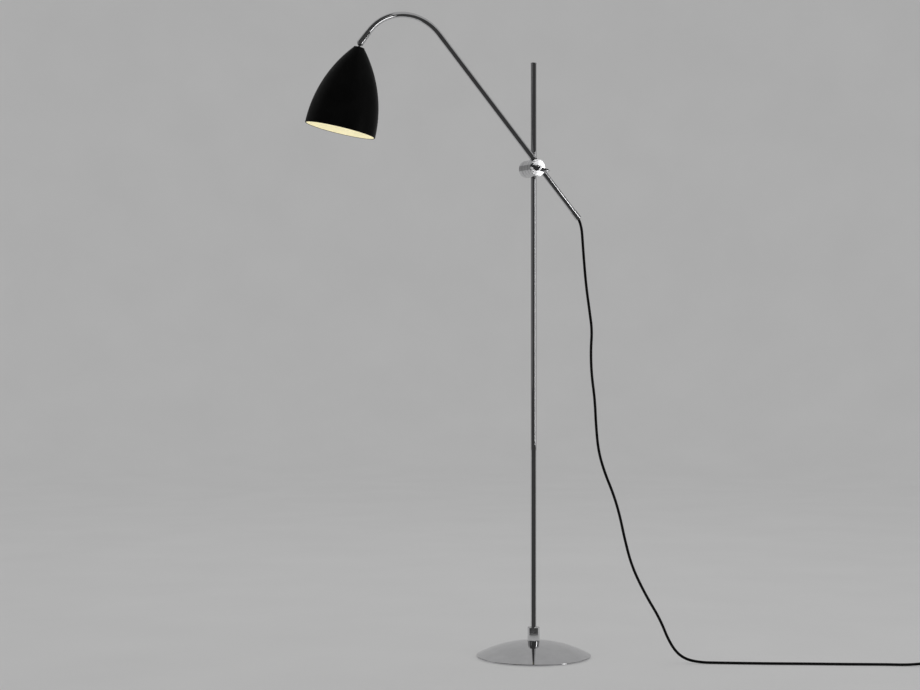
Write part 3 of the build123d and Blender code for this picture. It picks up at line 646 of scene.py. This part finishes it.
# ---------------------------------------- CAD nodes that stay, with their finish
CAD_LOOKS = {
    "chrome": "base_shell post post_cap arm_tube",
    "turned": (
        "collar clamp_rear_outer clamp_rear_inner clamp_front_inner clamp_front_outer clamp_bolt "
        "thrust_washer wing_nut socket_tip socket_ring ball_stud ferrule"
    ),
    "iron": "base_weight",
    "pad": "base_pad ferrule_grommet",
    "nylon": "post_sleeve arm_sleeve friction_washer ball_seat cord_tie",
    "steel": "base_washer base_bolt post_plug collar_screw stud_nut seat_spring bulb_cap",
    "plastic": (
        "lampholder_cap lampholder_body switch_base switch_cover switch_button switch_block "
        "plug_body switch_boots"
    ),
    "brass": "lampholder_shell lampholder_contact plug_blades",
    "glass": "bulb_glass bulb_stem",
    "cord": "inner_lead",
}
for look, names in CAD_LOOKS.items():
    for name in names.split():
        slots = nodes[name].material_slots
        for slot in slots:
            slot.material = LOOKS[look]
        if not slots:
            nodes[name].data.materials.append(LOOKS[look])

# ---------------------------------------- studio
STAGE_R = 7.0
COVE_R = 1.6
COVE_STEPS = 12
DARK_R = 5.2  # how far out the dark screens stand
NEAR_FLOOR = 0.002


def stage_piece(name, mesh, look):
    mesh.materials.append(LOOKS[look])
    mesh.shade_smooth()
    made = bpy.data.objects.new(name, mesh)
    bpy.context.scene.collection.objects.link(made)
    return made


cove = [(0.0, 0.0), (STAGE_R - COVE_R, 0.0)]
for step in range(1, COVE_STEPS + 1):
    angle = math.radians(90 * step / COVE_STEPS)
    cove.append((STAGE_R - COVE_R + COVE_R * math.sin(angle), COVE_R - COVE_R * math.cos(angle)))
cove += [(STAGE_R, 4.5), (STAGE_R * 0.7, 6.0), (0.0, 6.2)]
below_floor = Matrix.Translation((0, 0, -0.0002))
stage_piece("studio", lathe_mesh("studio", cove, below_floor, 96, closed=False), "backdrop")


def screen(name, first, last, profile, look, steps=32):
    """A screen that only reflections see, off camera at the stage's edge.

    It sweeps (radius, height) points about Z between two azimuths, in degrees to the right
    of straight ahead.
    """
    shape = bmesh.new()
    previous = None
    for step in range(steps + 1):
        angle = math.radians(90 + VIEW_TURN - first - (last - first) * step / steps)
        points = [Vector((r * math.cos(angle), r * math.sin(angle), h)) for r, h in profile]
        column = [shape.verts.new(point) for point in points]
        if previous:
            for low in range(len(column) - 1):
                high = low + 1
                shape.faces.new((previous[low], column[low], column[high], previous[high]))
        previous = column
    made = stage_piece(name, to_mesh(name, shape), look)
    for kind in ("camera", "diffuse", "shadow", "transmission", "volume_scatter"):
        setattr(made, "visible_" + kind, False)


# A dark side and a dark floor towards the camera, and a grey wing at each side of the backdrop.
dark_floor = [(0.3, NEAR_FLOOR), (DARK_R, NEAR_FLOOR)]
wing = [(6.0, NEAR_FLOOR), (5.4, 3.4)]
screen("dark_right", 92, 138, dark_floor + [(DARK_R, 3.2)], "flag")
screen("dark_left", 138, 268, dark_floor + [(DARK_R, 3.6), (0.01, 4.6)], "flag")
screen("left_wing", -92, -26, wing, "wing")
screen("right_wing", 30, 92, wing, "wing")


def area_light(name, at, target, size, power, glossy=True):
    """A soft box. at and target are in the camera's upright frame: X right, Y away, Z up."""
    data = bpy.data.lights.new(name, "AREA")
    data.shape = "RECTANGLE"
    data.size, data.size_y = size
    data.energy = power
    light = bpy.data.objects.new(name, data)
    bpy.context.scene.collection.objects.link(light)
    at, target = camera_turn @ Vector(at), camera_turn @ Vector(target)
    facing = (at - target).to_track_quat("Z", "Y").to_matrix().to_4x4()
    light.matrix_world = Matrix.Translation(at) @ facing
    light.visible_camera = False
    light.visible_glossy = glossy


KEY_AZIMUTH = math.radians(62)
KEY_AWAY = 2.2
KEY_H = 0.85
key_at = (KEY_AWAY * math.sin(KEY_AZIMUTH), -KEY_AWAY * math.cos(KEY_AZIMUTH), KEY_H)
area_light("key", key_at, (0, 0, KEY_H), (0.3, 1.0), 4.0)
area_light("fill", (-3.0, -2.4, 1.3), (0, 0, 1.1), (0.8, 1.6), 0.7)
area_light("top", (0.2, 1.2, 3.4), (0, 0.6, 0), (2.0, 2.0), 11.0, glossy=False)

world = bpy.data.worlds.new("world")
world.use_nodes = True
world.node_tree.nodes["Background"].inputs["Color"].default_value = (0.2, 0.2, 0.2, 1.0)
bpy.context.scene.world = world
